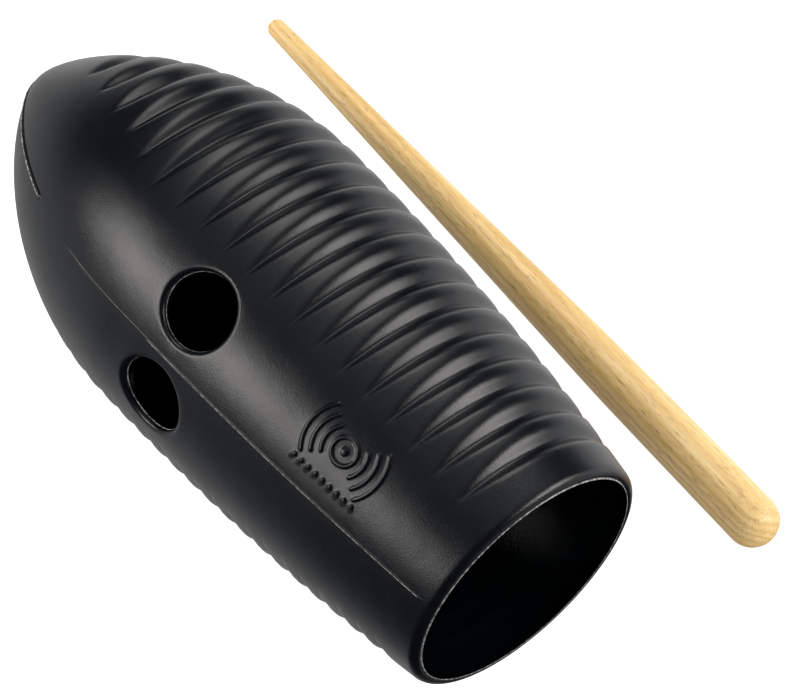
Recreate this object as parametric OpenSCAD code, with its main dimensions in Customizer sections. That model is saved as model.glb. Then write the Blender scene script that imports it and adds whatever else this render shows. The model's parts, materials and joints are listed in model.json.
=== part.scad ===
// Guiro: a hollow moulded shell with scraping ribs on both sides, and its loose wooden scraper.
// X runs along the shell from its nose (-X) to its mouth (+X), Z is up, and the origin is the
// centre of the mouth opening. Both pieces rest on a floor one belly radius below the origin.

/* [Shell] */
// Length of the shell from the nose to the mouth
shell_length = 250; // [230:1:280]
// Outer radius at the fattest place
belly_radius = 57.4; // [54:0.1:60]
// Distance from the nose to the fattest place
belly_from_nose = 102; // [95:1:110]
// Power of the nose curve: 2 is a plain ellipse and less is more pointed
nose_power = 1.35; // [1.2:0.05:1.8]
// Outer radius at the mouth
mouth_outer_radius = 46.7; // [45:0.1:48]
// Power of the taper between the fattest place and the mouth
taper_power = 2.1; // [1.6:0.1:2.6]
// Thickness of the moulded wall
wall = 2.3; // [2:0.1:2.6]
// Roll of the shell about X, away from having the coarse ribs straight up
roll = 33.7; // [0:0.1:90]

/* [Mouth] */
// Radius of the rounded shoulder at the rim
rim_fillet = 3; // [2:0.1:3.2]
// Radius of the cut opening
mouth_radius = 43.2; // [42:0.1:43.5]

/* [Coarse ribs] */
// Number of coarse grooves
coarse_count = 19; // [15:1:19]
// Distance between coarse grooves
coarse_pitch = 11.5; // [11:0.05:11.6]
// Depth of a full coarse groove at the middle of its length
coarse_depth = 2.5; // [1.5:0.1:2.8]
// Distance from the nose to the first coarse groove
coarse_from_nose = 27; // [26:0.5:28]

/* [Fine ribs] */
// Number of fine grooves
fine_count = 23; // [15:1:23]
// Distance between fine grooves
fine_pitch = 8.33; // [8:0.01:8.4]
// Depth of a full fine groove at the middle of its length
fine_depth = 1.45; // [0.8:0.05:2]
// Distance from the nose to the first fine groove
fine_from_nose = 50.4; // [50:0.1:51]

/* [Grip holes] */
// Radius of the finger and thumb holes
grip_radius = 13; // [12:0.1:13.5]
// Distance from the nose to both holes
grip_from_nose = 127; // [120:1:135]
// Angle of the upper hole above the seam
upper_grip_angle = 20.4; // [19:0.1:22]
// Angle of the lower hole below the seam
lower_grip_angle = 17.9; // [17:0.1:20]
// Depth of the turned-in collar below the skin
collar_depth = 4.4; // [4:0.1:5]
// Radius of the rounded edge around each hole
grip_fillet = 2; // [1:0.1:2.4]

/* [Emblem] */
// Distance from the nose to the middle of the moulded emblem
emblem_from_nose = 196; // [190:1:200]
// Angle of the emblem above the seam
emblem_angle = 22; // [20:1:24]
// Height of the emblem above the skin
emblem_height = 0.5; // [0.2:0.1:0.6]

/* [Scraper] */
// Length of the scraper
scraper_length = 268; // [250:1:290]
// Radius at the thin end
scraper_thin_radius = 3.2; // [3:0.1:4]
// Radius where the long taper ends
scraper_taper_radius = 8.8; // [8:0.1:9]
// Radius at the thick end
scraper_thick_radius = 9.3; // [9:0.1:10]
// Distance from the thin end to the end of the long taper
scraper_taper_length = 190; // [170:1:210]
// X of the thick end
scraper_end_x = 21.5; // [0:0.5:30]
// Y of the thick end
scraper_end_y = 89; // [80:1:110]
// Turn of the scraper about Z: at 0 it is parallel to the shell
scraper_turn = -1.5; // [-3:0.1:3]

/* [Hidden] */
$fn = 96;

outline_steps = 14;         // straight steps in each half of the shell's outline
coarse_drop = 8.5;          // how far the ribbed cores' axes sit from the shell's axis
fine_drop = 5;
flank_slope = 0.74;         // how steeply both sides of a groove rise
groove_bottom = 0.8;        // width of a groove's blunt bottom
rib_fade_length = 60;       // length of nose over which the grooves reach their full depth
crest_gap = 0.12;           // a rib's crest is the plain skin, so the core stands clear of it
seam_height = 0.2;          // flash line left by the two mould halves
seam_width = 0.6;
scar_from_nose = 49;        // how far back the pinched-off nose scar reaches
scar_width = 1.4;
scar_depth = 0.5;
scar_bead = 0.5;            // width of the bead that runs along the middle of the scar
inner_mouth_fillet = 1;
emblem_line = 1;            // width of the emblem's ring and arcs
emblem_ring = 4.6;
emblem_arcs = [8.2, 11.8, 15.4];
emblem_arc_angle = 38;      // how far each arc turns to either side of the X direction
emblem_dots = 9;
emblem_dot_radius = 0.75;
emblem_dot_pitch = 3.2;
emblem_dot_row = -12;       // distance of the row of dots from the emblem's middle
beyond = 2 * belly_radius;  // longer than anything it has to cut through

// ---------- outline of the shell ----------

// Outer radius at a distance from the nose.
function nose_radius(s) =
    belly_radius * pow(1 - pow(1 - s / belly_from_nose, 2), 1 / nose_power);
function rear_radius(s) = belly_radius - (belly_radius - mouth_outer_radius)
    * pow((s - belly_from_nose) / (shell_length - belly_from_nose), taper_power);
function outer_radius(s) = s < belly_from_nose ? nose_radius(s) : rear_radius(s);

// Points [radius, x] for a skin lying `inset` inside the outer one, from the nose to the belly.
// The steps shorten towards the tip, where the curve turns fastest.
function nose_points(inset) = [
    for (i = [0 : outline_steps - 1])
        let (turn = 90 * (1 - i / outline_steps))
        [
            (belly_radius - inset) * pow(cos(turn), 2 / nose_power),
            belly_from_nose - shell_length - (belly_from_nose - inset) * sin(turn)
        ]
];
// The same from the belly to a distance `last` from the nose.
function rear_points(inset, last) = [
    for (i = [0 : outline_steps])
        let (s = belly_from_nose + (last - belly_from_nose) * i / outline_steps)
        [rear_radius(s) - inset, s - shell_length]
];
// Quarter round from a side wall of radius r to a flat end at x.
function shoulder_points(r, x, fillet) = [
    for (turn = [0 : 18 : 90])
        [r - fillet * (1 - cos(turn)), x - fillet * (1 - sin(turn))]
];

module revolve_about_x(points) {
    rotate([0, 90, 0])
        rotate_extrude()
            polygon(points);
}

module plain_body(inset, end_x, fillet) {
    side_end = shell_length + end_x - fillet;
    revolve_about_x(concat(
        nose_points(inset),
        rear_points(inset, side_end - fillet),
        shoulder_points(outer_radius(side_end) - inset, end_x, fillet),
        [[0, end_x]]
    ));
}

// ---------- ribs ----------

// The ribs are what is left of the body inside a slightly larger core with V-shaped grooves,
// whose axis is dropped below the shell's: its grooves cut deepest at the top and run out at both
// sides. Towards the nose the grooves get shallower, and so shorter.
function groove_depth(s, depth) = s > rib_fade_length ? depth
    : depth * sin(90 * s / rib_fade_length);

module ribbed_core(first, pitch, count, depth, drop, inset) {
    function crest_radius(s) = outer_radius(s) + drop + crest_gap - inset;
    function valley(s) = groove_depth(s, depth) + crest_gap;
    last = first + (count - 1) * pitch;
    before = first - pitch / 2;
    after = last + pitch / 2;
    grooves = [
        for (i = [0 : count - 1])
            let (middle = first + i * pitch, deep = valley(middle))
            for (side = [-1, 1], top = side < 0 ? [1, 0] : [0, 1])
                let (s = middle + side * (groove_bottom / 2 + top * deep / flank_slope))
                [crest_radius(s) - (1 - top) * deep, s - shell_length]
    ];
    translate([0, 0, -drop])
        revolve_about_x(concat(
            [[0, -shell_length - beyond], [crest_radius(before), -shell_length - beyond]],
            [[crest_radius(before), before - shell_length]],
            grooves,
            [[crest_radius(after), after - shell_length]],
            [[crest_radius(after), beyond], [0, beyond]]
        ));
}

module coarse_core(inset) {
    ribbed_core(coarse_from_nose, coarse_pitch, coarse_count, coarse_depth, coarse_drop, inset);
}

module fine_core(inset) {
    rotate([180, 0, 0])
        ribbed_core(fine_from_nose, fine_pitch, fine_count, fine_depth, fine_drop, inset);
}

// ---------- marks of the moulding ----------

// A slab in the plane where the two mould halves meet, between two distances from the nose.
module mould_plane(from, to, thickness) {
    translate([from - shell_length, -beyond, -thickness / 2])
        cube([to - from, 2 * beyond, thickness]);
}

// The flash line stands a little above the skin, from the nose scar to the rim's shoulder.
module seam() {
    intersection() {
        mould_plane(scar_from_nose, shell_length - 2 * rim_fillet, seam_width);
        plain_body(-seam_height, 0, rim_fillet);
    }
}

// Pinching off the nose leaves a shallow slot across its tip, with a bead along its middle.
module nose_scar() {
    difference() {
        mould_plane(-beyond, scar_from_nose, scar_width);
        plain_body(scar_depth, 0, rim_fillet);
        mould_plane(-2 * beyond, shell_length, scar_bead);
    }
}

// ---------- grip holes and emblem ----------

// Stands its children on the shell's axis, with their +Z pointing outwards through the skin.
module radially(s, angle) {
    translate([s - shell_length, 0, 0])
        rotate([90 - angle, 0, 0])
            children();
}

module at_both_grips() {
    for (angle = [upper_grip_angle, -lower_grip_angle])
        radially(grip_from_nose, angle)
            translate([0, 0, outer_radius(grip_from_nose)])
                children();
}

// What the cavity leaves standing around a hole: the skin turns in there.
module grip_collar() {
    translate([0, 0, -collar_depth])
        cylinder(r = grip_radius + wall, h = beyond);
}

// The hole with its rounded outer edge.
module grip_opening() {
    translate([0, 0, -beyond / 2])
        cylinder(r = grip_radius, h = beyond);
    rotate_extrude()
        polygon(concat(
            [[0, -grip_fillet]],
            [
                for (turn = [90 : -18 : 0])
                    [
                        grip_radius + grip_fillet * (1 - sin(turn)),
                        -grip_fillet * (1 - cos(turn))
                    ]
            ],
            [[grip_radius + grip_fillet, 2], [0, 2]]
        ));
}

module emblem_ring_line(r) {
    difference() {
        circle(r = r + emblem_line / 2);
        circle(r = r - emblem_line / 2);
    }
}

// A ring between arcs, like sound spreading out, over a row of dots.
module emblem_drawing() {
    reach = 2 * max(emblem_arcs);
    edge = reach * [cos(emblem_arc_angle), sin(emblem_arc_angle)];
    circle(r = emblem_ring / 4);
    emblem_ring_line(emblem_ring);
    for (side = [0, 180])
        rotate(side)
            intersection() {
                union()
                    for (r = emblem_arcs)
                        emblem_ring_line(r);
                polygon([[0, 0], [edge[0], -edge[1]], edge]);
            }
    for (i = [0 : emblem_dots - 1])
        translate([(i - (emblem_dots - 1) / 2) * emblem_dot_pitch, emblem_dot_row])
            circle(r = emblem_dot_radius, $fn = 16);
}

module emblem() {
    intersection() {
        radially(emblem_from_nose, emblem_angle)
            linear_extrude(beyond)
                emblem_drawing($fn = 72);
        plain_body(-emblem_height, 0, rim_fillet);
    }
}

// ---------- nodes ----------

module outer_form() {
    union() {
        intersection() {
            plain_body(0, 0, rim_fillet);
            coarse_core(0);
            fine_core(0);
        }
        seam();
        emblem();
    }
}

module cavity() {
    difference() {
        intersection() {
            plain_body(wall, -wall, inner_mouth_fillet);
            coarse_core(wall);
            fine_core(wall);
        }
        at_both_grips() grip_collar();
    }
}

module shell() {
    color([0.05, 0.05, 0.055])
        rotate([-roll, 0, 0])
            difference() {
                outer_form();
                cavity();
                nose_scar();
                at_both_grips() grip_opening();
                rotate([0, 90, 0])
                    cylinder(r = mouth_radius, h = 4 * wall, center = true);
            }
}

// A turned stick: a long taper, a nearly straight grip, and round ends.
module scraper() {
    thin = scraper_thin_radius;
    thick = scraper_thick_radius;
    // It lies on the floor on its thin end and on the place where its long taper ends.
    tilt = asin((scraper_taper_radius - thin) / (scraper_taper_length - thin));
    end_height = thin + (scraper_length - thin) * sin(tilt);
    color([0.87, 0.72, 0.47])
        translate([scraper_end_x, scraper_end_y, end_height - belly_radius])
            rotate([0, 90 - tilt, scraper_turn])
                translate([0, 0, -scraper_length])
                    rotate_extrude()
                        polygon(concat(
                            [for (turn = [0 : 15 : 90]) thin * [sin(turn), 1 - cos(turn)]],
                            [[scraper_taper_radius, scraper_taper_length]],
                            [
                                for (turn = [0 : 15 : 90])
                                    [0, scraper_length - thick] + thick * [cos(turn), sin(turn)]
                            ]
                        ));
}

shell();
scraper();
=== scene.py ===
"""The looks of a moulded guiro and its wooden scraper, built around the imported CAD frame.

The shell is one closed mesh: a body of revolution about X whose skin carries coarse ribs, fine
ribs, a mould seam, a pinched-off nose and an emblem, with two grip holes and an open mouth. Its
building functions work in millimetres, with s the distance from the nose and psi the angle about
the axis, from the seam beside the emblem up towards the coarse ribs.
"""

import json
import math

import bmesh
import bpy
import numpy as np
from mathutils import Matrix, Vector


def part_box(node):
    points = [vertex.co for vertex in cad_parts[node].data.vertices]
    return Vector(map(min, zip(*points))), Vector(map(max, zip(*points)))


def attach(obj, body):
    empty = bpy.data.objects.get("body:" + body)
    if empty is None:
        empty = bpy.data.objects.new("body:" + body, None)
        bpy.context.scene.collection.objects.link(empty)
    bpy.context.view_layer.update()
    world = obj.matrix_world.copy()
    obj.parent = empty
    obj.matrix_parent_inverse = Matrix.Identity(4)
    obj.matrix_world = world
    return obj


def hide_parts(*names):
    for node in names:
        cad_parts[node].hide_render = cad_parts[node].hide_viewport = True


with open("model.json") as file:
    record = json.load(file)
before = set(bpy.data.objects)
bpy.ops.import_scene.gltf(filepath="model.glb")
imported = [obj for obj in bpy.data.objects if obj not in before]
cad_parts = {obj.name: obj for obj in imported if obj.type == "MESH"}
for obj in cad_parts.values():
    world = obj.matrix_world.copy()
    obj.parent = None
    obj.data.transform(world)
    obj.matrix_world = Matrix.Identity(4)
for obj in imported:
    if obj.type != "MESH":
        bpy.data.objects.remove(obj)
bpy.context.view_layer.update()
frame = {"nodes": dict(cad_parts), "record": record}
mounts = {mount["name"]: mount for mount in frame["record"]["mounts"]}
shell_low, shell_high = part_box("shell")

MM = 0.001
SHELL_BODY = "guiro_body"
SCRAPER_BODY = "scraper_body"

# ---------- shell dimensions, in millimetres ----------

LENGTH = -shell_low.x / MM
BELLY = (shell_high.z - shell_low.z) / 2 / MM
BELLY_FROM_NOSE = 102.0
NOSE_POWER = 1.35
NOSE_ROUNDING = 3.0
MOUTH_OUTER = 46.7
TAPER_POWER = 2.1
WALL = 2.3
ROLL = math.radians(33.7)

MOUTH_OPENING = mounts["mouth"]["dims"]["r_mm"]
RIM_FILLET = 3.2
LIP_THICKNESS = mounts["mouth"]["dims"]["length_mm"]
INNER_RIM_FILLET = 1.1
CUT_BEVEL = 0.25
RIM_TURN = math.radians(82.0)
LIP_RISE = 0.4
LIP_WIDTH = 0.4

# The grooves of each kind: the first one's place, their pitch and number, their depth, how far
# they reach round to either side in degrees, the slopes of their walls, and how rounded their
# bottoms and shoulders are (each pair is the nose side, then the mouth side). Grooves nearer to
# the nose than full_depth and full_length are shallower and shorter. Each groove gets a number
# of rows of the grid.
COARSE = {
    "first": 27.0,
    "pitch": 11.5,
    "count": 19,
    "depth": 2.5,
    "half_angle": 51.5,
    "slopes": (0.71, 0.77),
    "bottom": 0.6,
    "shoulders": (0.65, 0.26),
    "full_depth": 45.0,
    "full_length": 85.0,
    "rows": 14,
}
FINE = {
    "first": 50.4,
    "pitch": 8.33,
    "count": 23,
    "depth": 2.1,
    "half_angle": 51.5,
    "slopes": (0.48, 0.48),
    "bottom": 0.45,
    "shoulders": (0.45, 0.3),
    "full_depth": 95.0,
    "full_length": 95.0,
    "rows": 10,
}
RIB_END_POWER = 3.0
RIB_DEPTH_FADE = 0.5
RIB_LENGTH_FADE = 0.42
RIB_END_SOFTNESS = 0.35
INNER_COARSE_SHARE = 0.9
INNER_FINE_SHARE = 0.6
RIDGE_STEEPNESS = 1.4

SEAM_FROM = 60.0
SEAM_FULL = 95.0
SEAM_HEIGHT = 0.3
SEAM_HALF_WIDTH = 0.28
SEAM_RIM_GAP = (3.0, 1.5)
# The strip along the flash line's crest that gets the pale edge material, a painted highlight:
# its width, and how far from the nose it starts.
SEAM_HIGHLIGHT_WIDTH = 0.2
SEAM_HIGHLIGHT_FROM = 118.0

# The scar where the nose was pinched off: a bead on one side of the mould plane, a recess on the
# other, and a small round hook at the recess's end.
SCAR_END = 49.0
SCAR_BEAD = 0.5
SCAR_BEAD_OFFSET = 0.3
SCAR_BEAD_HALF_WIDTH = 0.38
SCAR_BEAD_TAPER = 1.5
# Width of the strip along the bead's crest that gets the pale edge material, a painted highlight.
SCAR_HIGHLIGHT_WIDTH = 0.46
SCAR_DEPTH = 0.55
SCAR_RECESS_OFFSET = 0.4
SCAR_RECESS_HALF_WIDTH = 0.36
SCAR_HOOK_OFFSET = 0.1
SCAR_HOOK_PAST_END = 0.9
SCAR_HOOK_RADIUS = 0.7

GRIP_FILLET = 2.0
COLLAR_WALL = 1.5
COLLAR_FILLET = 0.4
CUT_WAVER = 0.1
WAVER_WAVES = (3, 5, 8, 13, 21)
WAVER_SHIFT = 1.7
WAVER_PEAK = 1.5

EMBLEM_S = 196.0
EMBLEM_PSI = math.radians(22.0)
EMBLEM_HEIGHT = 0.5
EMBLEM_LINE = 0.52
EMBLEM_SOFTNESS = 0.45
EMBLEM_MIDDLE_DOT = 1.2
EMBLEM_RING = 4.6
EMBLEM_ARCS = (8.2, 11.8, 15.4)
EMBLEM_ARC_ANGLE = math.radians(38)
EMBLEM_DOT = 0.75
EMBLEM_DOT_ROW = -12.0
EMBLEM_DOT_PITCH = 3.2
EMBLEM_DOT_COUNT = 9
EMBLEM_STEP = 0.42
EMBLEM_MARGIN = 1.0

# ---------- outline of the plain body ----------


def nose_tip_offset():
    """How much of the sharp nose curve the rounding of its tip takes away."""
    return BELLY_FROM_NOSE * (1 - math.sqrt(1 - (NOSE_ROUNDING / belly_rho()) ** NOSE_POWER))


def belly_rho():
    """Radius of the sharp nose curve at the belly; its tip is rounded by NOSE_ROUNDING."""
    return math.hypot(BELLY, NOSE_ROUNDING)


def plain_radius(s):
    """Radius of the plain body at a distance s from the nose."""
    s = np.asarray(s, float)
    tip = nose_tip_offset()
    stretched = tip + np.clip(s, 0, BELLY_FROM_NOSE) * (1 - tip / BELLY_FROM_NOSE)
    rho = belly_rho() * (1 - (1 - stretched / BELLY_FROM_NOSE) ** 2) ** (1 / NOSE_POWER)
    nose = np.sqrt(np.maximum(rho**2 - NOSE_ROUNDING**2, 0))
    share = np.clip((s - BELLY_FROM_NOSE) / (LENGTH - BELLY_FROM_NOSE), 0, 1)
    rear = BELLY - (BELLY - MOUTH_OUTER) * share**TAPER_POWER
    return np.where(s < BELLY_FROM_NOSE, nose, rear)


def nose_distance(r):
    """The inverse of plain_radius on the nose: distance from the nose at a radius."""
    tip = nose_tip_offset()
    rho = np.hypot(r, NOSE_ROUNDING)
    sharp = BELLY_FROM_NOSE * (1 - np.sqrt(1 - (rho / belly_rho()) ** NOSE_POWER))
    return (sharp - tip) / (1 - tip / BELLY_FROM_NOSE)


def plain_normal(s, r):
    """Outward normal of the plain body as its parts along X and along the radius."""
    tip = nose_tip_offset()
    stretch = 1 - tip / BELLY_FROM_NOSE
    sharp = tip + np.clip(s, 0, BELLY_FROM_NOSE) * stretch
    rho = np.hypot(r, NOSE_ROUNDING)
    along = -2 * (1 - sharp / BELLY_FROM_NOSE) / BELLY_FROM_NOSE * stretch
    across = NOSE_POWER * rho ** (NOSE_POWER - 2) / belly_rho() ** NOSE_POWER * r
    rear_length = LENGTH - BELLY_FROM_NOSE
    share = np.clip((s - BELLY_FROM_NOSE) / rear_length, 0, 1)
    slope = (BELLY - MOUTH_OUTER) * TAPER_POWER * share ** (TAPER_POWER - 1) / rear_length
    on_nose = s < BELLY_FROM_NOSE
    along = np.where(on_nose, along, slope)
    across = np.where(on_nose, across, 1.0)
    size = np.hypot(along, across)
    return along / size, across / size


# ---------- reliefs on the skin ----------


def smooth_step(x, low, high):
    t = np.clip((x - low) / (high - low), 0, 1)
    return t * t * (3 - 2 * t)


def rib_cut(s, from_centre, ribs):
    """Depth of the V-grooves, rounded at the bottom and at both shoulders. They run out at an
    angle from the ribs' middle, and get shallower and shorter towards the nose."""
    full_depth = ribs["depth"] * np.clip(s / ribs["full_depth"], 0, 1) ** RIB_DEPTH_FADE
    end = math.radians(ribs["half_angle"])
    end = end * np.clip(s / ribs["full_length"], 0.01, 1) ** RIB_LENGTH_FADE
    turn = np.abs(np.mod(from_centre + np.pi, 2 * np.pi) - np.pi)
    depth = full_depth * (1 - (turn / end) ** RIB_END_POWER)
    nearest = np.round((s - ribs["first"]) / ribs["pitch"])
    full = np.clip(depth / ribs["depth"], 0, 1)
    softness = RIB_END_SOFTNESS + (1 - RIB_END_SOFTNESS) * full
    cut = np.zeros_like(s + from_centre)
    for step in (-1, 0, 1):
        index = np.clip(nearest + step, 0, ribs["count"] - 1)
        across = s - ribs["first"] - index * ribs["pitch"]
        slope = np.where(across < 0, *ribs["slopes"])
        shoulder = np.where(across < 0, *ribs["shoulders"]) * softness
        bottom = slope * ribs["bottom"]
        flank = np.hypot(slope * across, bottom) - bottom
        inside = depth - flank
        cut = np.maximum(cut, (inside + np.hypot(inside, shoulder)) / 2)
    return cut


def ridge(x, half_width):
    """A rounded ridge of height 1 about x = 0."""
    return np.exp(-((x / half_width) ** 2) * RIDGE_STEEPNESS)


def seam_relief(s, r, psi):
    """The flash line between the mould halves, and the scar where the nose was pinched off."""
    off_plane = r * np.sin(psi)
    rim_from, rim_to = (LENGTH - RIM_FILLET - gap for gap in SEAM_RIM_GAP)
    along = smooth_step(s, SEAM_FROM, SEAM_FULL) * (1 - smooth_step(s, rim_from, rim_to))
    flash = SEAM_HEIGHT * along * ridge(off_plane, SEAM_HALF_WIDTH)
    past_end = np.maximum(s - SCAR_END, 0)
    from_bead = np.hypot(off_plane + SCAR_BEAD_OFFSET, past_end * SCAR_BEAD_TAPER)
    from_recess = np.hypot(off_plane - SCAR_RECESS_OFFSET, past_end)
    from_hook = np.hypot(off_plane + SCAR_HOOK_OFFSET, s - SCAR_END - SCAR_HOOK_PAST_END)
    bead = SCAR_BEAD * ridge(from_bead, SCAR_BEAD_HALF_WIDTH)
    recess = SCAR_DEPTH * ridge(from_recess, SCAR_RECESS_HALF_WIDTH)
    hook = SCAR_DEPTH * ridge(from_hook, SCAR_HOOK_RADIUS)
    return flash + bead - np.maximum(recess, hook)


def coarse_cut(s, psi):
    return rib_cut(s, psi - np.pi / 2, COARSE)


def fine_cut(s, psi):
    return rib_cut(s, psi + np.pi / 2, FINE)


def skin_relief(s, r, psi):
    return seam_relief(s, r, psi) - coarse_cut(s, psi) - fine_cut(s, psi)


class Grip:
    """A grip hole: where it is, and how the skin turns in around it."""

    def __init__(self, name):
        mount = mounts[name]
        x, y, z = (value / MM for value in mount["pos_m"])
        self.radius = mount["dims"]["r_mm"]
        self.s = LENGTH + x
        self.psi = math.atan2(z, -y) - ROLL
        self.axis = np.array(mount["axis"])
        self.cut_height = math.hypot(y, z) - mount["dims"]["length_mm"] / 2

    def distance(self, s, psi):
        """How far a point of the skin is from the hole's axis."""
        across = plain_radius(s) * np.sin(psi - self.psi)
        behind = np.cos(psi - self.psi) < 0
        return np.where(behind, 1e3, np.hypot(s - self.s, across))

    def turn_in(self, s, psi, edge, fillet):
        """How far the skin drops, parallel to the hole's axis, as it turns in at radius edge."""
        gap = np.clip(self.distance(s, psi) - edge, 0, fillet)
        return fillet - np.sqrt(np.maximum(fillet**2 - (fillet - gap) ** 2, 0))


GRIPS = [Grip("upper_grip_hole"), Grip("lower_grip_hole")]


def place(s, r, psi, offset):
    """Points in row-frame millimetres: on the plain body, moved by offset along its normal."""
    along, across = plain_normal(s, r)
    radius = r + across * offset
    angle = psi + ROLL
    x = s - LENGTH + along * offset
    return np.stack([x, -radius * np.cos(angle), radius * np.sin(angle)], -1)


def outer_points(s, psi, r=None):
    r = plain_radius(s) if r is None else r
    points = place(s, r, psi, skin_relief(s, r, psi))
    for grip in GRIPS:
        drop = grip.turn_in(s, psi, grip.radius, GRIP_FILLET)
        points = points - drop[..., None] * grip.axis
    return points


def inner_points(s, psi, r=None):
    """The inner skin follows the ribs, a little softened, at the wall's thickness."""
    r = plain_radius(s) if r is None else r
    coarse = INNER_COARSE_SHARE * coarse_cut(s, psi)
    fine = INNER_FINE_SHARE * fine_cut(s, psi)
    return place(s, r, psi, -WALL - coarse - fine)


def stroke(distance, half_width):
    """Height of a raised line with soft edges, from the distance to its middle."""
    inner, outer = half_width * (1 - EMBLEM_SOFTNESS), half_width * (1 + EMBLEM_SOFTNESS)
    return 1 - smooth_step(np.abs(distance), inner, outer)


def emblem_relief(u, v):
    """A ring between arcs, like sound spreading out, over a row of dots. u runs towards the
    mouth and v towards the coarse ribs, in millimetres from the emblem's middle."""
    reach = np.hypot(u, v)
    height = stroke(reach - EMBLEM_RING, EMBLEM_LINE)
    height = np.maximum(height, stroke(reach, EMBLEM_MIDDLE_DOT))
    angle = np.arctan2(v, np.abs(u))
    held = np.clip(angle, -EMBLEM_ARC_ANGLE, EMBLEM_ARC_ANGLE)
    for radius in EMBLEM_ARCS:
        across = np.hypot(np.abs(u) - radius * np.cos(held), v - radius * np.sin(held))
        height = np.maximum(height, stroke(across, EMBLEM_LINE))
    last = (EMBLEM_DOT_COUNT - 1) / 2
    dot = np.clip(np.round(u / EMBLEM_DOT_PITCH), -last, last) * EMBLEM_DOT_PITCH
    from_dot = np.hypot(u - dot, v - EMBLEM_DOT_ROW)
    return EMBLEM_HEIGHT * np.maximum(height, stroke(from_dot, EMBLEM_DOT))


# ---------- mesh assembly ----------

# Where each material is in the shell's list of them; the second's paleness is a painted
# highlight.
SKIN, PAINTED_HIGHLIGHT_EDGE, INSIDE = 0, 1, 2


class MeshBuilder:
    """Collects points in millimetres and faces, each face with its material's index."""

    def __init__(self):
        self.points = []
        self.faces = []
        self.materials = []
        self.count = 0

    def add_points(self, points):
        """Adds an array of points and returns their indices in the same shape."""
        flat = np.asarray(points, float).reshape(-1, 3)
        self.points.append(flat)
        indices = np.arange(self.count, self.count + len(flat))
        self.count += len(flat)
        return indices.reshape(np.shape(points)[:-1])

    def add_faces(self, corners, material):
        self.faces.extend(corners.tolist())
        self.materials.extend([material] * len(corners))

    def sheet(self, indices, material, keep=None, closed=True):
        """Quads over a grid of indices, whose columns join up when closed."""
        if closed:
            indices = np.concatenate([indices, indices[:, :1]], 1)
        quads = np.stack(
            [indices[:-1, :-1], indices[:-1, 1:], indices[1:, 1:], indices[1:, :-1]], -1
        )
        quads = quads[keep] if keep is not None else quads.reshape(-1, 4)
        self.add_faces(quads, material)

    def zip_loops(self, loop_a, angles_a, loop_b, angles_b, material):
        """Triangles between two closed loops whose angles rise from about the same start."""
        ends_a = np.append(angles_a[1:], angles_a[0] + 2 * np.pi)
        ends_b = np.append(angles_b[1:], angles_b[0] + 2 * np.pi)
        a, b, triangles = 0, 0, []
        while a < len(loop_a) or b < len(loop_b):
            here_a, here_b = loop_a[a % len(loop_a)], loop_b[b % len(loop_b)]
            if b == len(loop_b) or (a < len(loop_a) and ends_a[a] <= ends_b[b]):
                a += 1
                triangles.append((here_a, loop_a[a % len(loop_a)], here_b))
            else:
                b += 1
                triangles.append((here_a, loop_b[b % len(loop_b)], here_b))
        self.add_faces(np.array(triangles), material)

    def build(self, name, materials, sharp_angle):
        mesh = bpy.data.meshes.new(name)
        mesh.from_pydata((np.concatenate(self.points) * MM).tolist(), [], self.faces)
        for material in materials:
            mesh.materials.append(material)
        mesh.polygons.foreach_set("material_index", self.materials)
        mesh.polygons.foreach_set("use_smooth", [True] * len(self.faces))
        mesh.update()
        bm = bmesh.new()
        bm.from_mesh(mesh)
        unused = [point for point in bm.verts if not point.link_faces]
        bmesh.ops.delete(bm, geom=unused, context="VERTS")
        bmesh.ops.recalc_face_normals(bm, faces=bm.faces)
        bm.to_mesh(mesh)
        bm.free()
        mesh.set_sharp_from_angle(angle=sharp_angle)
        piece = bpy.data.objects.new(name, mesh)
        bpy.context.scene.collection.objects.link(piece)
        return piece


def rising_angles(a, b):
    """Angles of the points (a, b) about the origin, turned so that they start near zero."""
    angles = np.arctan2(b, a)
    return angles[0] + np.concatenate([[0], np.cumsum(np.mod(np.diff(angles), 2 * np.pi))])


def rectangle_loop(grid):
    """The border of a grid, in order, starting from its first corner."""
    return np.concatenate([grid[0, :-1], grid[:-1, -1], grid[-1, :0:-1], grid[:0:-1, 0]])


# ---------- the shell's grid ----------

CAP_RADIUS = 12.0
QUADRANT = 56
# Distances from the mould plane, in millimetres, of the columns next to each seam.
SEAM_OFFSETS = np.array([0, 0.1, 0.24, 0.4, 0.6, 0.84, 1.4, 2.3])
VALLEY_CROWDING = 1.5
NOSE_ROWS = 20
RIM_ROWS = 6
OUTLINE_SAMPLES = 400
SIDES_BLEND = 0.6
SHOULDER_TURNS = 9
INNER_RIM_TURNS = 5
RAY_STEPS = 12
FILLET_TURNS = np.radians(np.arange(0, 91, 15))
BEYOND_FILLET = (0.33, 0.66)
# Half the length and half the width of the windows in the grid, in millimetres.
# The shell's radius at the grip holes over the holes' own, roughly.
SKIN_PER_GRIP_RADIUS = 4.0
GRIP_WINDOW_LENGTH = 17.0
GRIP_WINDOW_MARGIN = 1.2
INNER_WINDOW = (18.0, 17.0)
EMBLEM_WINDOW = (22.0, 14.5)
# The mouth's lip as (x, distance out from the mouth's radius), from its outside to its inside.
LIP_PROFILE = [(-0.1, LIP_WIDTH - 0.12), (0.0, LIP_WIDTH / 2), (-0.06, 0.0)]
SHELL_SHARP_ANGLE = math.radians(50)


def column_angles(r):
    """psi of every column on rings of radius r. The columns next to the seams keep a fixed
    distance from the mould plane, so that the seam and the scar keep their width."""
    near = np.arcsin(SEAM_OFFSETS / np.asarray(r, float)[..., None])
    count = QUADRANT - len(SEAM_OFFSETS) + 1
    edge = near[..., -1:]
    rest = edge + (np.pi / 2 - edge) * np.arange(1, count + 1) / count
    quarter = np.concatenate([near, rest], -1)
    half = np.concatenate([quarter[..., :-1], np.pi - quarter[..., :0:-1]], -1)
    return np.concatenate([half, half + np.pi], -1)


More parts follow.
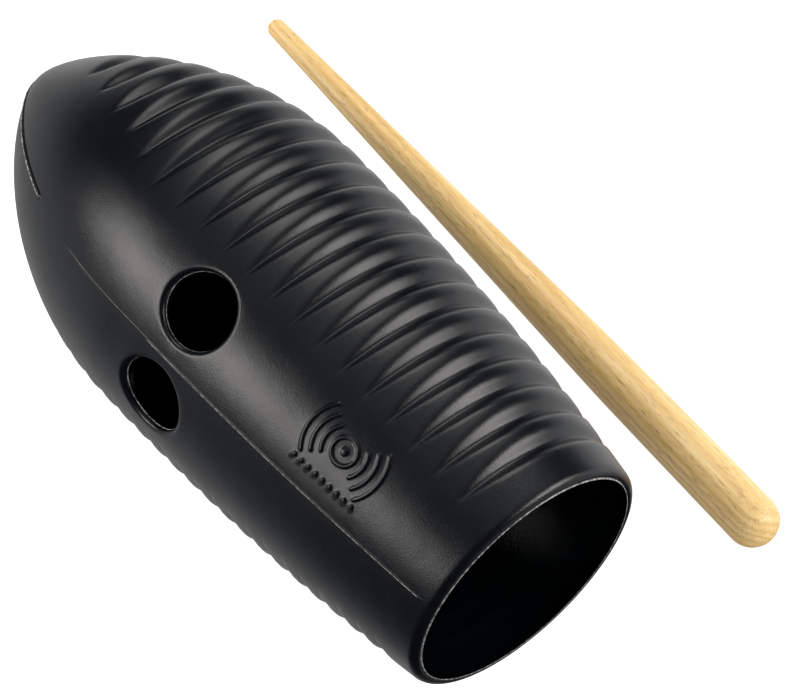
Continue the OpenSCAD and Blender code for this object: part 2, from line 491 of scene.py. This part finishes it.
def even_rows(start, end, count):
    """Distances from the nose, evenly spaced along the outline, leaving out the last one."""
    s = np.linspace(start, end, OUTLINE_SAMPLES)
    steps = np.hypot(np.diff(s), np.diff(plain_radius(s)))
    travelled = np.concatenate([[0], np.cumsum(steps)])
    return np.interp(np.linspace(0, travelled[-1], count + 1)[:-1], travelled, s)


def groove_rows(ribs):
    """Rows over every groove of one kind, closest together in its valley."""
    t = np.arange(ribs["rows"]) / ribs["rows"] * 2 - 1
    t = np.sign(t) * np.abs(t) ** VALLEY_CROWDING / 2
    valleys = ribs["first"] + np.arange(ribs["count"]) * ribs["pitch"]
    return (valleys[:, None] + t * ribs["pitch"]).ravel()


def rib_span(ribs):
    half = ribs["pitch"] / 2
    return ribs["first"] - half, ribs["first"] + (ribs["count"] - 1) * ribs["pitch"] + half


def rim_start():
    """Where the side wall turns into the rim's shoulder, and the wall's slope there."""
    along, across = plain_normal(LENGTH - RIM_FILLET, plain_radius(LENGTH - RIM_FILLET))
    slope = math.atan2(along, across)
    return LENGTH - RIM_FILLET * (1 - math.sin(slope)), slope


def shell_rows():
    """The distances from the nose of all rows, on the coarse side and on the fine side."""
    ribs_from, ribs_to = rib_span(COARSE)
    fine_from, fine_to = rib_span(FINE)
    fill = COARSE["rows"] * COARSE["count"] - FINE["rows"] * FINE["count"]
    before = round(fill * (fine_from - ribs_from) / (fine_from - ribs_from + ribs_to - fine_to))
    nose = even_rows(float(nose_distance(CAP_RADIUS)), ribs_from, NOSE_ROWS)
    rim = np.append(even_rows(ribs_to, rim_start()[0], RIM_ROWS), rim_start()[0])
    fine = np.concatenate([
        even_rows(ribs_from, fine_from, before),
        groove_rows(FINE),
        even_rows(fine_to, ribs_to, fill - before),
    ])
    return np.concatenate([nose, groove_rows(COARSE), rim]), np.concatenate([nose, fine, rim])


def shell_grid():
    """s and psi of every point of the outer skin, from the nose cap to the rim."""
    coarse, fine = shell_rows()
    psi = column_angles(plain_radius(coarse))
    to_fine = smooth_step(-np.sin(psi), -SIDES_BLEND, SIDES_BLEND)
    s = coarse[:, None] * (1 - to_fine) + fine[:, None] * to_fine
    return s, psi


class Window:
    """A rectangle of grid cells about a point, which something else will fill."""

    def __init__(self, s, psi, centre_s, centre_psi, half_length, half_width):
        row = np.argmin(np.abs(s[:, 0] - centre_s))
        turn = np.mod(psi[row] - centre_psi + np.pi, 2 * np.pi) - np.pi
        columns = np.flatnonzero(np.abs(turn) * plain_radius(centre_s) <= half_width)
        rows = np.flatnonzero(np.abs(s[:, columns[0]] - centre_s) <= half_length)
        self.rows = slice(rows[0], rows[-1] + 1)
        self.columns = slice(columns[0], columns[-1] + 1)
        self.cells = (slice(rows[0], rows[-1]), slice(columns[0], columns[-1]))
        turn = np.mod(psi[self.rows, self.columns] - centre_psi + np.pi, 2 * np.pi) - np.pi
        self.ds = rectangle_loop(s[self.rows, self.columns] - centre_s)
        self.dpsi = rectangle_loop(turn)

    def border(self, indices):
        return rectangle_loop(indices[self.rows, self.columns])


def nose_cap(builder, border, place_points, material):
    """Fills the ring `border` with a square grid, whose middle lines run along the scar. Its
    four sides are quarters of the ring, and the points between them are a blend of all four."""
    side = len(border) // 4
    psi = column_angles(CAP_RADIUS)[:: QUADRANT // side]
    ring = CAP_RADIUS * np.stack([np.cos(psi), np.sin(psi)], -1)
    steps = np.arange(side + 1)
    right = (steps - side // 2) % (4 * side)
    top = 3 * side // 2 - steps
    left = 5 * side // 2 - steps
    bottom = (5 * side // 2 + steps) % (4 * side)
    u = (steps / side)[:, None, None]
    v = (steps / side)[None, :, None]
    flat = (1 - u) * ring[left][None] + u * ring[right][None]
    flat = flat + (1 - v) * ring[bottom][:, None] + v * ring[top][:, None]
    flat = flat - (1 - u) * (1 - v) * ring[left[0]] - u * (1 - v) * ring[right[0]]
    flat = flat - (1 - u) * v * ring[left[-1]] - u * v * ring[right[-1]]
    inside = flat[1:-1, 1:-1]
    r = np.maximum(np.hypot(inside[..., 0], inside[..., 1]), 1e-6)
    points = place_points(nose_distance(r), np.arctan2(inside[..., 1], inside[..., 0]), r)
    indices = np.zeros((side + 1, side + 1), int)
    indices[1:-1, 1:-1] = builder.add_points(points)
    indices[0], indices[-1] = border[left], border[right]
    indices[:, 0], indices[:, -1] = border[bottom], border[top]
    builder.sheet(indices, material, closed=False)


def rays_at(grip, window, distance):
    """Points on the rays from the hole's axis to the window's border, at a distance from the
    axis. Each round of scaling brings them closer to it."""
    scale = np.full(len(window.ds), 0.5)
    for _ in range(RAY_STEPS):
        s, psi = grip.s + window.ds * scale, grip.psi + window.dpsi * scale
        scale = scale * distance / grip.distance(s, psi)
    return grip.s + window.ds * scale, grip.psi + window.dpsi * scale


def turned_in_rings(builder, grip, window, border, edge, fillet, place_points, material):
    """Rings from the circle of radius edge, where the skin has turned in, to the window's
    border. Returns the circle's indices and points."""
    room = grip.distance(grip.s + window.ds, grip.psi + window.dpsi) - edge - fillet
    reaches = [fillet * (1 - math.cos(turn)) for turn in FILLET_TURNS]
    reaches += [fillet + room * share for share in BEYOND_FILLET]
    rings = np.array([place_points(*rays_at(grip, window, edge + reach)) for reach in reaches])
    indices = np.concatenate([builder.add_points(rings), border[None]])
    builder.sheet(indices, material)
    return indices[0], rings[0]


def at_height(grip, points, height, outwards=0.0):
    """The points moved along the hole's axis to a height above the shell's axis."""
    from_axis = points - np.array([grip.s - LENGTH, 0, 0])
    along = (from_axis @ grip.axis)[:, None] * grip.axis
    radial = from_axis - along
    radial = radial * (1 + outwards / np.linalg.norm(radial, axis=1))[:, None]
    return np.array([grip.s - LENGTH, 0, 0]) + radial + np.reshape(height, (-1, 1)) * grip.axis


def waver(angles, seed):
    """A small, smooth, repeatable unevenness round a hand-cut edge."""
    total = np.zeros_like(angles)
    for wave in WAVER_WAVES:
        total = total + np.sin(wave * angles + seed * wave * WAVER_SHIFT) / math.sqrt(wave)
    return CUT_WAVER * total / WAVER_PEAK


def line_hole(builder, grip, seed, outer, inner):
    """Joins the two skins round a hole: the trimmed lip, the wall, its foot and the outside.
    outer and inner are each (window, circle's indices, circle's points)."""
    outer_window, outer_circle, outer_ring = outer
    inner_window, inner_circle, inner_ring = inner
    width_per_angle = SKIN_PER_GRIP_RADIUS * grip.radius
    outer_angles = rising_angles(outer_window.dpsi * width_per_angle, outer_window.ds)
    inner_angles = rising_angles(inner_window.dpsi * width_per_angle, inner_window.ds)
    middle = np.array([grip.s - LENGTH, 0, 0])
    turned_in = (outer_ring - middle) @ grip.axis
    lip = turned_in - CUT_BEVEL + waver(outer_angles, seed)
    lip = builder.add_points(at_height(grip, outer_ring, lip, -CUT_BEVEL / 2))
    wall = builder.add_points(at_height(grip, outer_ring, grip.cut_height, -CUT_BEVEL / 2))
    # The hole's cut lip gets the pale edge material: a painted highlight.
    builder.sheet(np.array([outer_circle, lip]), PAINTED_HIGHLIGHT_EDGE)
    builder.sheet(np.array([lip, wall]), INSIDE)
    foot = builder.add_points(at_height(grip, inner_ring, grip.cut_height))
    builder.zip_loops(wall, outer_angles, foot, inner_angles, INSIDE)
    builder.sheet(np.array([foot, inner_circle]), INSIDE)


def add_emblem(builder, window, border):
    """Fills a window with a fine grid that carries the emblem."""
    radius = float(plain_radius(EMBLEM_S))

    def even_steps(border_places):
        start, end = border_places.min() + EMBLEM_MARGIN, border_places.max() - EMBLEM_MARGIN
        return np.linspace(start, end, round((end - start) / EMBLEM_STEP))

    u, v = np.meshgrid(even_steps(window.ds), even_steps(window.dpsi * radius), indexing="ij")
    s, psi = EMBLEM_S + u, EMBLEM_PSI + v / radius
    r = plain_radius(s)
    points = place(s, r, psi, skin_relief(s, r, psi) + emblem_relief(u, v))
    patch = builder.add_points(points)
    builder.sheet(patch, SKIN, closed=False)
    patch_angles = rising_angles(rectangle_loop(v), rectangle_loop(u))
    border_angles = rising_angles(window.dpsi * radius, window.ds)
    builder.zip_loops(border, border_angles, rectangle_loop(patch), patch_angles, SKIN)


def ring_points(x, r, psi):
    angle = psi + ROLL
    return np.stack([np.full_like(psi, x), -r * np.cos(angle), r * np.sin(angle)], -1)


def add_rim(builder, outer_row, outer_psi, inner_row, inner_psi):
    """The rim: rounded shoulder, flat, trimmed lip, cut wall, and the small inner fillet."""
    start, slope = rim_start()
    middle = float(plain_radius(start)) - RIM_FILLET * math.cos(slope)
    turns = np.linspace(slope, RIM_TURN, SHOULDER_TURNS)[1:]
    shoulder = [
        (-RIM_FILLET + RIM_FILLET * math.sin(turn), middle + RIM_FILLET * math.cos(turn))
        for turn in turns
    ]
    rows = [ring_points(x, r, outer_psi) for x, r in shoulder]
    rows.append(ring_points(-LIP_RISE, MOUTH_OPENING + LIP_WIDTH, outer_psi))
    skin = builder.add_points(np.array(rows))
    builder.sheet(np.concatenate([outer_row[None], skin]), SKIN)
    rows = [ring_points(x, MOUTH_OPENING + r, outer_psi) for x, r in LIP_PROFILE]
    lip = builder.add_points(np.array(rows))
    # The rim's lip gets the pale edge material: a painted highlight.
    builder.sheet(np.concatenate([skin[-1:], lip]), PAINTED_HIGHLIGHT_EDGE)
    wall = ring_points(CUT_BEVEL - LIP_THICKNESS, MOUTH_OPENING, outer_psi)
    cut = np.array([lip[-1], builder.add_points(wall)])
    builder.sheet(cut, INSIDE)
    wall_radius = float(plain_radius(LENGTH - LIP_THICKNESS - INNER_RIM_FILLET)) - WALL
    rows = [ring_points(-LIP_THICKNESS, MOUTH_OPENING + CUT_BEVEL, inner_psi)]
    for turn in np.linspace(math.pi / 2, 0, INNER_RIM_TURNS):
        x = -LIP_THICKNESS - INNER_RIM_FILLET * (1 - math.sin(turn))
        r = wall_radius - INNER_RIM_FILLET * (1 - math.cos(turn))
        rows.append(ring_points(x, r, inner_psi))
    inside = builder.add_points(np.array(rows))
    builder.zip_loops(cut[-1], outer_psi, inside[0], inner_psi, INSIDE)
    builder.sheet(np.concatenate([inside, inner_row[None]]), INSIDE)


def crests_with_painted_highlight(s, psi):
    """The grid cells on the crests of the nose scar's bead and the flash line, which get the pale
    edge material: a painted highlight along each crest."""
    middle_s = (s[1:] + s[:-1]) / 2
    turned = (psi[:-1] + np.roll(psi, -1, 1)[:-1]) / 2
    off_plane = plain_radius(middle_s) * np.sin(turned)
    on_bead = (np.abs(off_plane + SCAR_BEAD_OFFSET) < SCAR_HIGHLIGHT_WIDTH / 2) & (middle_s < SCAR_END)
    along_seam = (middle_s > SEAM_HIGHLIGHT_FROM) & (middle_s < LENGTH - 2 * RIM_FILLET)
    on_seam = (np.abs(off_plane) < SEAM_HIGHLIGHT_WIDTH / 2) & along_seam
    return on_bead | on_seam


def build_shell(materials):
    """The whole shell. The inside's grid is every other row and column of the outside's."""
    builder = MeshBuilder()
    s, psi = shell_grid()
    inner_s, inner_psi = s[::2, ::2], psi[::2, ::2]
    deep = inner_s[:, 0] < LENGTH - LIP_THICKNESS - 2 * INNER_RIM_FILLET
    inner_s, inner_psi = inner_s[deep], inner_psi[deep]
    outer = builder.add_points(outer_points(s, psi))
    inner = builder.add_points(inner_points(inner_s, inner_psi))
    keep_outer = np.ones((outer.shape[0] - 1, outer.shape[1]), bool)
    keep_inner = np.ones((inner.shape[0] - 1, inner.shape[1]), bool)
    for seed, grip in enumerate(GRIPS):
        half_width = grip.radius + GRIP_FILLET + GRIP_WINDOW_MARGIN
        window = Window(s, psi, grip.s, grip.psi, GRIP_WINDOW_LENGTH, half_width)
        keep_outer[window.cells] = False
        circle, ring = turned_in_rings(
            builder, grip, window, window.border(outer), grip.radius, GRIP_FILLET,
            outer_points, SKIN)
        inner_window = Window(inner_s, inner_psi, grip.s, grip.psi, *INNER_WINDOW)
        keep_inner[inner_window.cells] = False
        inner_circle, inner_ring = turned_in_rings(
            builder, grip, inner_window, inner_window.border(inner),
            grip.radius + COLLAR_WALL, COLLAR_FILLET, inner_points, INSIDE)
        line_hole(builder, grip, seed, (window, circle, ring),
                  (inner_window, inner_circle, inner_ring))
    window = Window(s, psi, EMBLEM_S, EMBLEM_PSI, *EMBLEM_WINDOW)
    keep_outer[window.cells] = False
    add_emblem(builder, window, window.border(outer))
    # The crests of the scar's bead and the flash line, which get the pale edge material below: a
    # painted highlight.
    trimmed = crests_with_painted_highlight(s, psi)
    builder.sheet(outer, SKIN, keep_outer & ~trimmed)
    builder.sheet(outer, PAINTED_HIGHLIGHT_EDGE, keep_outer & trimmed)
    builder.sheet(inner, INSIDE, keep_inner)
    nose_cap(builder, outer[0], outer_points, SKIN)
    nose_cap(builder, inner[0], inner_points, INSIDE)
    add_rim(builder, outer[-1], psi[-1], inner[-1], inner_psi[-1])
    return builder.build("moulded_shell", materials, SHELL_SHARP_ANGLE)


# ---------- scraper: radii and lengths in millimetres ----------

SCRAPER_THIN = 3.2
SCRAPER_TAPER_END = 8.8
SCRAPER_THICK = 9.3
SCRAPER_TAPER_LENGTH = 190.0
SCRAPER_BLEND = 0.25
SCRAPER_COLUMNS = 96
SCRAPER_ROWS = 110
SCRAPER_END_TURNS = 14
SCRAPER_SHARP_ANGLE = math.radians(60)


def scraper_ends():
    """The tips of its thin and thick ends, in metres: the CAD node's points furthest along X."""
    corners = [Vector(v.co) for v in frame["nodes"]["scraper"].data.vertices]
    corners.sort(key=lambda corner: corner.x)
    return corners[0], corners[-1]


def scraper_radius(z, length):
    """Radius of the stick at a distance from its thin end, without its round ends: a steep
    taper, then a slight one, with a soft change between them."""
    steep = SCRAPER_THIN + (SCRAPER_TAPER_END - SCRAPER_THIN) * z / SCRAPER_TAPER_LENGTH
    slope = (SCRAPER_THICK - SCRAPER_TAPER_END) / (length - SCRAPER_TAPER_LENGTH)
    slight = SCRAPER_TAPER_END + slope * (z - SCRAPER_TAPER_LENGTH)
    apart = np.hypot(steep - slight, SCRAPER_BLEND)
    return (steep + slight - apart) / 2 + SCRAPER_BLEND / 8


def build_scraper(material):
    thin_end, thick_end = scraper_ends()
    length = (thick_end - thin_end).length / MM
    turns = np.radians(np.linspace(0, 90, SCRAPER_END_TURNS))
    thin = float(scraper_radius(SCRAPER_THIN, length))
    thick = float(scraper_radius(length - SCRAPER_THICK, length))
    z = np.linspace(SCRAPER_THIN, length - SCRAPER_THICK, SCRAPER_ROWS)
    profile = [(thin * math.sin(t), SCRAPER_THIN * (1 - math.cos(t))) for t in turns[1:-1]]
    profile += list(zip(scraper_radius(z, length), z))
    profile += [
        (thick * math.cos(t), length - SCRAPER_THICK * (1 - math.sin(t))) for t in turns[1:-1]
    ]
    r, z = np.array(profile).T
    angle = np.arange(SCRAPER_COLUMNS) / SCRAPER_COLUMNS * 2 * np.pi
    rings = np.stack([
        r[:, None] * np.cos(angle), r[:, None] * np.sin(angle),
        np.repeat(z[:, None], SCRAPER_COLUMNS, 1)], -1)
    builder = MeshBuilder()
    indices = builder.add_points(rings)
    builder.sheet(indices, 0)
    for row, tip in ((indices[0], 0.0), (indices[-1], length)):
        middle = builder.add_points(np.array([[0, 0, tip]]))
        ring = np.stack([row, np.roll(row, -1), np.full(len(row), middle[0])], -1)
        builder.add_faces(ring, 0)
    piece = builder.build("wooden_scraper", [material], SCRAPER_SHARP_ANGLE)
    turn = (thick_end - thin_end).normalized().to_track_quat("Z", "Y")
    piece.matrix_world = Matrix.Translation(thin_end) @ turn.to_matrix().to_4x4()
    return piece


# ---------- materials: sizes and depths in millimetres, colours linear ----------

BLACK_PLASTIC = (0.0012, 0.0028, 0.005)
INNER_PLASTIC = (0.0004, 0.0016, 0.0026)
# The two pale greys of the edges are a painted highlight: the bright line these edges catch from
# the lamps.
PAINTED_HIGHLIGHT_DIM = (0.1, 0.098, 0.095)
PAINTED_HIGHLIGHT_BRIGHT = (0.46, 0.45, 0.43)
WOOD_LIGHT = (0.9, 0.67, 0.33)
WOOD_MIDDLE = (0.8, 0.54, 0.21)
WOOD_LINE = (0.62, 0.38, 0.12)
WOOD_PORE = (0.22, 0.11, 0.035)


def new_material(name, colour=None, roughness=None):
    """A material with a plain colour or roughness, where it isn't driven by other nodes."""
    material = bpy.data.materials.new(name)
    material.use_nodes = True
    shader = material.node_tree.nodes["Principled BSDF"]
    if colour is not None:
        shader.inputs["Base Color"].default_value = (*colour, 1)
    if roughness is not None:
        shader.inputs["Roughness"].default_value = roughness
    return material


def coordinates(material, scale, move=(0, 0, 0)):
    """The object's own coordinates in metres, scaled and then moved."""
    nodes, links = material.node_tree.nodes, material.node_tree.links
    source = nodes.new("ShaderNodeTexCoord")
    mapping = nodes.new("ShaderNodeMapping")
    mapping.inputs["Location"].default_value = move
    mapping.inputs["Scale"].default_value = scale
    links.new(source.outputs["Object"], mapping.inputs["Vector"])
    return mapping.outputs["Vector"]


def noise(material, feature, detail=2.0, stretch=(1, 1, 1)):
    """Noise from 0 to 1 with features of a size in millimetres, stretched along the axes."""
    texture = material.node_tree.nodes.new("ShaderNodeTexNoise")
    texture.inputs["Scale"].default_value = 1 / (feature * MM)
    texture.inputs["Detail"].default_value = detail
    vector = coordinates(material, tuple(1 / factor for factor in stretch))
    material.node_tree.links.new(vector, texture.inputs["Vector"])
    return texture.outputs["Fac"]


def remap(material, value, old, new):
    """The value taken from one range to another, held inside the new one."""
    node = material.node_tree.nodes.new("ShaderNodeMapRange")
    for name, number in zip(("From Min", "From Max", "To Min", "To Max"), (*old, *new)):
        node.inputs[name].default_value = number
    material.node_tree.links.new(value, node.inputs["Value"])
    return node.outputs["Result"]


def mix_colour(material, share, first, second):
    """A mix of two colours, each given as numbers or as another node's output."""
    node = material.node_tree.nodes.new("ShaderNodeMix")
    node.data_type = "RGBA"
    material.node_tree.links.new(share, node.inputs["Factor"])
    for name, colour in (("A", first), ("B", second)):
        socket = next(i for i in node.inputs if i.name == name and i.type == "RGBA")
        if isinstance(colour, tuple):
            socket.default_value = (*colour, 1)
        else:
            material.node_tree.links.new(colour, socket)
    return next(o for o in node.outputs if o.type == "RGBA")


def add_bumps(material, *layers):
    """Bumps of (height value, depth in millimetres), one on top of another."""
    nodes, links = material.node_tree.nodes, material.node_tree.links
    normal = None
    for height, depth in layers:
        bump = nodes.new("ShaderNodeBump")
        bump.inputs["Strength"].default_value = 1.0
        bump.inputs["Distance"].default_value = depth * MM
        links.new(height, bump.inputs["Height"])
        if normal:
            links.new(normal, bump.inputs["Normal"])
        normal = bump.outputs["Normal"]
    links.new(normal, nodes["Principled BSDF"].inputs["Normal"])


def drive(material, name, value):
    """Links a value to one of the shader's inputs."""
    shader = material.node_tree.nodes["Principled BSDF"]
    material.node_tree.links.new(value, shader.inputs[name])


def moulded_plastic():
    """Near-black satin plastic with a fine leathery grain from the mould."""
    material = new_material("satin_black_plastic", BLACK_PLASTIC)
    smudges = noise(material, feature=18, detail=4)
    drive(material, "Roughness", remap(material, smudges, (0.3, 0.7), (0.27, 0.33)))
    grain = noise(material, feature=0.42, detail=3)
    unevenness = noise(material, feature=9)
    add_bumps(material, (grain, 0.07), (unevenness, 0.12))
    return material


def highlit_edge_plastic():
    """Rougher plastic where a blade has cut the mouth and the holes, also used on the crests of
    the scar's bead and the flash line; its pale greys are a painted highlight, the bright line
    these edges catch.
    """
    material = new_material("pale_edge_painted_highlight", roughness=0.4)
    # Noise breaks the painted highlight into paler and darker patches.
    pale = remap(material, noise(material, feature=1.2, detail=3), (0.42, 0.62), (0, 1))
    drive(material, "Base Color", mix_colour(material, pale, PAINTED_HIGHLIGHT_DIM, PAINTED_HIGHLIGHT_BRIGHT))
    add_bumps(material, (noise(material, feature=0.5, detail=4), 0.03))
    return material


def inner_plastic():
    """The inside of the blown shell: smoother, with a fine orange-peel."""
    material = new_material("inner_plastic", INNER_PLASTIC, 0.24)
    material.node_tree.nodes["Principled BSDF"].inputs["Specular IOR Level"].default_value = 0.22
    add_bumps(material, (noise(material, feature=0.7, detail=3), 0.16))
    return material


def hardwood():
    """Pale hardwood, its grain running along the stick's own Z axis. Each layer is stretched
    along it."""
    material = new_material("hardwood")
    rings = material.node_tree.nodes.new("ShaderNodeTexWave")
    rings.wave_type = "RINGS"
    rings.rings_direction = "Z"
    rings.inputs["Scale"].default_value = 120
    rings.inputs["Distortion"].default_value = 5
    rings.inputs["Detail"].default_value = 3
    rings.inputs["Detail Scale"].default_value = 1.2
    place_in_tree = coordinates(material, scale=(1, 1, 0.08), move=(0.012, 0.009, 0))
    material.node_tree.links.new(place_in_tree, rings.inputs["Vector"])
    patches = noise(material, feature=5, detail=3, stretch=(1, 1, 22))
    patches = remap(material, patches, (0.35, 0.65), (0, 1))
    fibres = noise(material, feature=0.5, detail=3, stretch=(1, 1, 40))
    fibres = remap(material, fibres, (0.38, 0.66), (0, 1))
    pores = noise(material, feature=0.3, detail=1, stretch=(1, 1, 14))
    pores = remap(material, pores, (0.6, 0.7), (0, 0.6))
    tool_marks = noise(material, feature=0.5, detail=1, stretch=(1, 1, 9))
    lines = remap(material, rings.outputs["Fac"], (0.2, 1), (0, 0.55))
    fine_lines = remap(material, fibres, (0, 1), (0, 0.5))
    colour = mix_colour(material, patches, WOOD_LIGHT, WOOD_MIDDLE)
    colour = mix_colour(material, lines, colour, WOOD_LINE)
    colour = mix_colour(material, fine_lines, colour, WOOD_LINE)
    drive(material, "Base Color", mix_colour(material, pores, colour, WOOD_PORE))
    drive(material, "Roughness", remap(material, fibres, (0, 1), (0.36, 0.5)))
    add_bumps(material, (fibres, 0.02), (tool_marks, 0.03))
    return material


# ---------- stage ----------

# The camera looks at TARGET from AZIMUTH, measured from -Y towards +X, and ELEVATION.
TARGET = Vector((-0.0748, 0.0093, 0.0376))
AZIMUTH = math.radians(50.0)
ELEVATION = math.radians(59.3)
DISTANCE = 1.984
LENS = 280.8

# Each softbox: azimuth from +X and elevation in degrees, width and height in metres, radiance.
SOFTBOXES = {
    "left_softbox": (-120, 25, 0.95, 0.48, 7.5),
    "right_softbox": (45, 27, 0.85, 0.55, 7.8),
    "back_softbox": (133, 46, 0.6, 0.75, 3.2),
}
SOFTBOX_DISTANCE = 1.3
LIGHT_COLOUR = (1.0, 0.97, 0.94)

# A glow seen only in reflections: the direction it is seen in, the cosines of the angles from
# it at which the glow starts and is full, and its strength.
OVERHEAD_GLOW = ((-0.25, 0.25, 0.93), 0.72, 0.95, 0.36)
FLOOR_REFLECTIONS = [
    ((-0.94, 0.34, 0.0), -0.15, 0.25, 0.5),
    ((-0.34, 0.94, 0.0), 0.35, 0.7, 0.46),
    ((0.75, 0.65, -0.1), 0.6, 0.95, 0.5),
]

# The world's strength outside reflections; the floor's albedo, its glow to the camera's eye, and
# its glow as a light from below.
WORLD_STRENGTH = 0.72
FLOOR_ALBEDO = 0.4
FLOOR_GLOW = 0.95
FLOOR_DIFFUSE_GLOW = 0.4
FLOOR_HALF_SIZE = 4.0
FLOOR_GAP = 0.0002


def add_camera():
    towards = Vector((
        math.sin(AZIMUTH) * math.cos(ELEVATION),
        -math.cos(AZIMUTH) * math.cos(ELEVATION),
        math.sin(ELEVATION),
    ))
    data = bpy.data.cameras.new("camera")
    data.lens = LENS
    camera = bpy.data.objects.new("camera", data)
    camera.location = TARGET + towards * DISTANCE
    camera.rotation_euler = towards.to_track_quat("Z", "Y").to_euler()
    bpy.context.scene.collection.objects.link(camera)
    bpy.context.scene.camera = camera


def add_softbox(name, azimuth, elevation, width, height, radiance):
    """A flat light that faces the object and that the camera doesn't see."""
    azimuth, elevation = math.radians(azimuth), math.radians(elevation)
    direction = Vector((
        math.cos(elevation) * math.cos(azimuth),
        math.cos(elevation) * math.sin(azimuth),
        math.sin(elevation),
    ))
    data = bpy.data.lights.new(name, "AREA")
    data.shape = "RECTANGLE"
    data.size, data.size_y = width, height
    data.energy = radiance * math.pi * width * height
    data.color = LIGHT_COLOUR
    light = bpy.data.objects.new(name, data)
    light.location = TARGET + direction * SOFTBOX_DISTANCE
    light.rotation_euler = direction.to_track_quat("Z", "Y").to_euler()
    light.visible_camera = False
    bpy.context.scene.collection.objects.link(light)


def by_ray(tree, ray, other, hit):
    """A number that is `hit` for one kind of ray and `other` for the rest."""
    path = tree.nodes.new("ShaderNodeLightPath")
    choose = tree.nodes.new("ShaderNodeMix")
    tree.links.new(path.outputs[ray], choose.inputs["Factor"])
    for name, value in (("A", other), ("B", hit)):
        if isinstance(value, float):
            choose.inputs[name].default_value = value
        else:
            tree.links.new(value, choose.inputs[name])
    return choose.outputs["Result"]


def reflected_glow(tree, axis, edge, full, strength):
    """A glow for rays going along an axis, between two cosines: none at the edge, then full."""
    direction = tree.nodes.new("ShaderNodeNewGeometry")
    along = tree.nodes.new("ShaderNodeVectorMath")
    along.operation = "DOT_PRODUCT"
    along.inputs[1].default_value = -Vector(axis).normalized()
    tree.links.new(direction.outputs["Incoming"], along.inputs[0])
    glow = tree.nodes.new("ShaderNodeMapRange")
    glow.interpolation_type = "SMOOTHSTEP"
    glow.inputs["From Min"].default_value = edge
    glow.inputs["From Max"].default_value = full
    glow.inputs["To Max"].default_value = strength
    tree.links.new(along.outputs["Value"], glow.inputs["Value"])
    return glow.outputs["Result"]


def add_world():
    """Pale all round to the eye; in reflections only a dim glow overhead, as in a dark studio."""
    world = bpy.data.worlds.new("studio")
    world.use_nodes = True
    tree = world.node_tree
    background = tree.nodes["Background"]
    background.inputs["Color"].default_value = (1.0, 1.0, 1.0, 1)
    glow = reflected_glow(tree, *OVERHEAD_GLOW)
    strength = by_ray(tree, "Is Glossy Ray", WORLD_STRENGTH, glow)
    tree.links.new(strength, background.inputs["Strength"])
    world.cycles.sampling_method = "NONE"
    bpy.context.scene.world = world


def add_floor():
    """A pale floor that glows a little, like a light table, so that shadows stay soft."""
    mesh = bpy.data.meshes.new("floor")
    half = FLOOR_HALF_SIZE
    z = shell_low.z - FLOOR_GAP
    corners = [(-half, -half, z), (half, -half, z), (half, half, z), (-half, half, z)]
    mesh.from_pydata(corners, [], [(0, 1, 2, 3)])
    material = new_material("pale_floor", roughness=1.0)
    tree = material.node_tree
    shader = tree.nodes["Principled BSDF"]
    shader.inputs["Specular IOR Level"].default_value = 0
    shader.inputs["Emission Color"].default_value = (1, 1, 1, 1)
    albedo = by_ray(tree, "Is Glossy Ray", FLOOR_ALBEDO, 0.0)
    tree.links.new(albedo, shader.inputs["Base Color"])
    reflected = None
    for reflection in FLOOR_REFLECTIONS:
        total = tree.nodes.new("ShaderNodeMath")
        total.inputs[0].default_value = 0
        if reflected:
            tree.links.new(reflected, total.inputs[0])
        tree.links.new(reflected_glow(tree, *reflection), total.inputs[1])
        reflected = total.outputs[0]
    others = by_ray(tree, "Is Glossy Ray", FLOOR_DIFFUSE_GLOW, reflected)
    glow = by_ray(tree, "Is Camera Ray", others, FLOOR_GLOW)
    tree.links.new(glow, shader.inputs["Emission Strength"])
    mesh.materials.append(material)
    floor = bpy.data.objects.new("floor", mesh)
    bpy.context.scene.collection.objects.link(floor)


# ---------- the scene ----------

shell = build_shell([moulded_plastic(), highlit_edge_plastic(), inner_plastic()])
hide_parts("shell")
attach(shell, SHELL_BODY)

scraper = build_scraper(hardwood())
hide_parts("scraper")
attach(scraper, SCRAPER_BODY)

add_floor()
add_camera()
add_world()
for softbox_name, settings in SOFTBOXES.items():
    add_softbox(softbox_name, *settings)
bpy.context.scene.view_settings.view_transform = "Standard"
